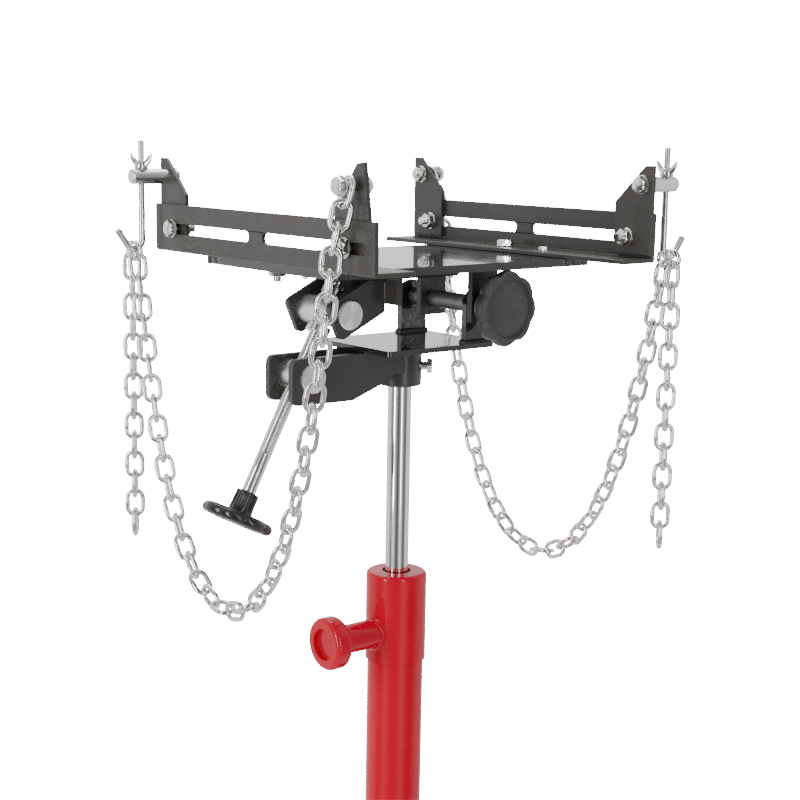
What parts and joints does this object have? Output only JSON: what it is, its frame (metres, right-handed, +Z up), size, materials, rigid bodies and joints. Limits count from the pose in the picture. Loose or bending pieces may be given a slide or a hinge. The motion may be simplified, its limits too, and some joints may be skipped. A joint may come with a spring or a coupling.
{
  "type": "transmission jack",
  "caption": "Vertical hydraulic transmission jack: wheeled base, foot pump, lift cylinder and chrome ram under a tilting saddle with slotted rails and hold-down chains.",
  "frame": {"origin": "on the floor under the ram axis", "axes": "+Z up along the ram, X across the saddle from one rail to the other, Y along the rails"},
  "size_m": [0.5742, 0.5742, 1.365],
  "materials": {
    "black_powder_coat": "satin black powder coat",
    "black_gloss_paint": "gloss black paint",
    "red_gloss_paint": "gloss red enamel",
    "hard_chrome": "polished hard chrome",
    "bright_zinc": "bright zinc plate",
    "turned_steel": "turned bright steel",
    "black_plastic": "moulded matt black plastic",
    "black_rubber": "hard rubber",
    "bronze": "bearing bronze"
  },
  "bodies": {
    "base": {"base_frame": "red_gloss_paint", "cylinder_tube": "red_gloss_paint", "cylinder_head": "red_gloss_paint", "guide_bush": "bronze", "wiper_seal": "black_rubber", "pump_block": "red_gloss_paint", "pedal_pin": "turned_steel"},
    "ram": {"ram": "hard_chrome", "piston": "turned_steel", "piston_seal": "black_rubber"},
    "yoke": {"yoke_plate": "black_gloss_paint", "ram_collar": "black_powder_coat", "collar_set_bolt": "bright_zinc", "lower_clevis": "black_powder_coat"},
    "saddle": {"deck_plate": "black_gloss_paint", "left_rail": "black_powder_coat", "right_rail": "black_powder_coat", "rail_bolts": "bright_zinc", "deck_bracket": "black_powder_coat", "upper_clevis": "black_powder_coat", "hinge_rod": "black_powder_coat", "hinge_sleeves": "black_powder_coat", "hinge_nut_and_washer": "bright_zinc", "left_chain_bolt_half": "bright_zinc", "left_chain_hook_half": "bright_zinc", "right_chain_bolt_half": "bright_zinc", "right_chain_hook_half": "bright_zinc"},
    "clamp_knob": {"clamp_knob": "black_plastic"},
    "upper_trunnion": {"upper_trunnion": "turned_steel"},
    "tilt_screw": {"tilt_screw": "bright_zinc", "screw_collars": "bright_zinc", "handwheel": "black_plastic"},
    "lower_trunnion": {"lower_trunnion": "turned_steel"},
    "left_far_upright": {"left_far_upright": "black_powder_coat", "left_far_bolts": "bright_zinc", "left_far_tension_bar": "turned_steel"},
    "left_near_upright": {"left_near_upright": "black_powder_coat", "left_near_bolts": "bright_zinc"},
    "right_far_upright": {"right_far_upright": "black_powder_coat", "right_far_bolts": "bright_zinc"},
    "right_near_upright": {"right_near_upright": "black_powder_coat", "right_near_bolts": "bright_zinc", "right_near_tension_bar": "turned_steel"},
    "left_hook": {"left_far_chain_hook": "bright_zinc", "left_chain_tail": "bright_zinc"},
    "right_hook": {"right_near_chain_hook": "bright_zinc", "right_chain_tail": "bright_zinc"},
    "left_wing_nut": {"left_far_wing_nut": "bright_zinc"},
    "right_wing_nut": {"right_near_wing_nut": "bright_zinc"},
    "pump_plunger": {"pump_plunger": "hard_chrome"},
    "foot_pedal": {"foot_pedal": "red_gloss_paint"},
    "release_pedal": {"release_pedal": "red_gloss_paint"},
    "front_right_fork": {"front_right_caster_fork": "bright_zinc"},
    "front_right_wheel": {"front_right_caster_wheel": "black_rubber"},
    "rear_right_fork": {"rear_right_caster_fork": "bright_zinc"},
    "rear_right_wheel": {"rear_right_caster_wheel": "black_rubber"},
    "rear_left_fork": {"rear_left_caster_fork": "bright_zinc"},
    "rear_left_wheel": {"rear_left_caster_wheel": "black_rubber"},
    "front_left_fork": {"front_left_caster_fork": "bright_zinc"},
    "front_left_wheel": {"front_left_caster_wheel": "black_rubber"}
  },
  "joints": [
    {"name": "ram_lift", "type": "slide", "parent": "base", "child": "ram", "axis": [0, 0, 1], "range_m": [-0.215, 0.45]},
    {"name": "saddle_swivel", "type": "hinge", "parent": "ram", "child": "yoke", "pos_m": [0, 0, 1.118], "axis": [0, 0, 1], "continuous": true},
    {"name": "saddle_tilt", "type": "hinge", "parent": "yoke", "child": "saddle", "pos_m": [0.057, 0, 1.186], "axis": [0, 1, 0], "range_deg": [-6, 6]},
    {"name": "upper_trunnion_turn", "type": "hinge", "parent": "saddle", "child": "upper_trunnion", "pos_m": [-0.108, 0, 1.182], "axis": [0, 1, 0], "range_deg": [-12, 12]},
    {"name": "handwheel_spin", "type": "hinge", "parent": "upper_trunnion", "child": "tilt_screw", "pos_m": [-0.108, 0, 1.182], "axis": [-0.4726, 0, -0.8813], "range_deg": [-1495, 1495]},
    {"name": "lower_trunnion_turn", "type": "hinge", "parent": "yoke", "child": "lower_trunnion", "pos_m": [-0.145, 0, 1.113], "axis": [0, 1, 0], "range_deg": [-8, 8]},
    {"name": "clamp_knob_spin", "type": "hinge", "parent": "saddle", "child": "clamp_knob", "pos_m": [0.057, -0.1, 1.186], "axis": [0, 1, 0], "continuous": true},
    {"name": "left_far_upright_slide", "type": "slide", "parent": "saddle", "child": "left_far_upright", "axis": [0, 1, 0], "range_m": [-0.1, 0.012], "deforming": ["left_chain_hook_half"]},
    {"name": "left_near_upright_slide", "type": "slide", "parent": "saddle", "child": "left_near_upright", "axis": [0, 1, 0], "range_m": [-0.026, 0.08], "deforming": ["left_chain_bolt_half"]},
    {"name": "right_far_upright_slide", "type": "slide", "parent": "saddle", "child": "right_far_upright", "axis": [0, 1, 0], "range_m": [-0.09, 0.016], "deforming": ["right_chain_bolt_half"]},
    {"name": "right_near_upright_slide", "type": "slide", "parent": "saddle", "child": "right_near_upright", "axis": [0, 1, 0], "range_m": [-0.01, 0.1], "deforming": ["right_chain_hook_half"]},
    {"name": "left_hook_travel", "type": "slide", "parent": "left_far_upright", "child": "left_hook", "axis": [0, 0, 1], "range_m": [-0.0025, 0.0025]},
    {"name": "left_wing_nut_spin", "type": "hinge", "parent": "left_far_upright", "child": "left_wing_nut", "pos_m": [-0.224, 0.2, 1.334], "axis": [0, 0, 1], "range_deg": [-725, 725]},
    {"name": "right_hook_travel", "type": "slide", "parent": "right_near_upright", "child": "right_hook", "axis": [0, 0, 1], "range_m": [-0.0025, 0.0025]},
    {"name": "right_wing_nut_spin", "type": "hinge", "parent": "right_near_upright", "child": "right_wing_nut", "pos_m": [0.224, -0.193, 1.334], "axis": [0, 0, 1], "range_deg": [-725, 725]},
    {"name": "front_right_caster_swivel", "type": "hinge", "parent": "base", "child": "front_right_fork", "pos_m": [0.23334, -0.23334, 0.09], "axis": [0, 0, 1], "continuous": true},
    {"name": "front_right_wheel_spin", "type": "hinge", "parent": "front_right_fork", "child": "front_right_wheel", "pos_m": [0.25314, -0.25314, 0.0375], "axis": [0.7071, 0.7071, 0], "continuous": true},
    {"name": "rear_right_caster_swivel", "type": "hinge", "parent": "base", "child": "rear_right_fork", "pos_m": [0.23334, 0.23334, 0.09], "axis": [0, 0, 1], "continuous": true},
    {"name": "rear_right_wheel_spin", "type": "hinge", "parent": "rear_right_fork", "child": "rear_right_wheel", "pos_m": [0.25314, 0.25314, 0.0375], "axis": [-0.7071, 0.7071, 0], "continuous": true},
    {"name": "rear_left_caster_swivel", "type": "hinge", "parent": "base", "child": "rear_left_fork", "pos_m": [-0.23334, 0.23334, 0.09], "axis": [0, 0, 1], "continuous": true},
    {"name": "rear_left_wheel_spin", "type": "hinge", "parent": "rear_left_fork", "child": "rear_left_wheel", "pos_m": [-0.25314, 0.25314, 0.0375], "axis": [-0.7071, -0.7071, 0], "continuous": true},
    {"name": "front_left_caster_swivel", "type": "hinge", "parent": "base", "child": "front_left_fork", "pos_m": [-0.23334, -0.23334, 0.09], "axis": [0, 0, 1], "continuous": true},
    {"name": "front_left_wheel_spin", "type": "hinge", "parent": "front_left_fork", "child": "front_left_wheel", "pos_m": [-0.25314, -0.25314, 0.0375], "axis": [0.7071, -0.7071, 0], "continuous": true},
    {"name": "foot_pedal_press", "type": "hinge", "parent": "base", "child": "foot_pedal", "pos_m": [0.072, 0, 0.25], "axis": [0, 1, 0], "range_deg": [0, 14], "stiffness_Nm_per_rad": 25, "springref_deg": -20.05},
    {"name": "pump_plunger_stroke", "type": "slide", "parent": "base", "child": "pump_plunger", "axis": [0, 0, 1], "range_m": [-0.0115, 0]},
    {"name": "release_pedal_press", "type": "hinge", "parent": "base", "child": "release_pedal", "pos_m": [0.094, 0, 0.175], "axis": [0, 1, 0], "range_deg": [0, 18], "stiffness_Nm_per_rad": 4, "springref_deg": -22.92}
  ],
  "couplings": [
    {"joint": "saddle_tilt", "follows": "handwheel_spin", "ratio": 0.0033389},
    {"joint": "upper_trunnion_turn", "follows": "handwheel_spin", "ratio": -0.006778},
    {"joint": "lower_trunnion_turn", "follows": "handwheel_spin", "ratio": -0.0034391},
    {"joint": "left_wing_nut_spin", "follows": "left_hook_travel", "rad_per_m": -5026.5},
    {"joint": "right_wing_nut_spin", "follows": "right_hook_travel", "rad_per_m": -5026.5},
    {"joint": "pump_plunger_stroke", "follows": "foot_pedal_press", "m_per_rad": -0.046}
  ]
}
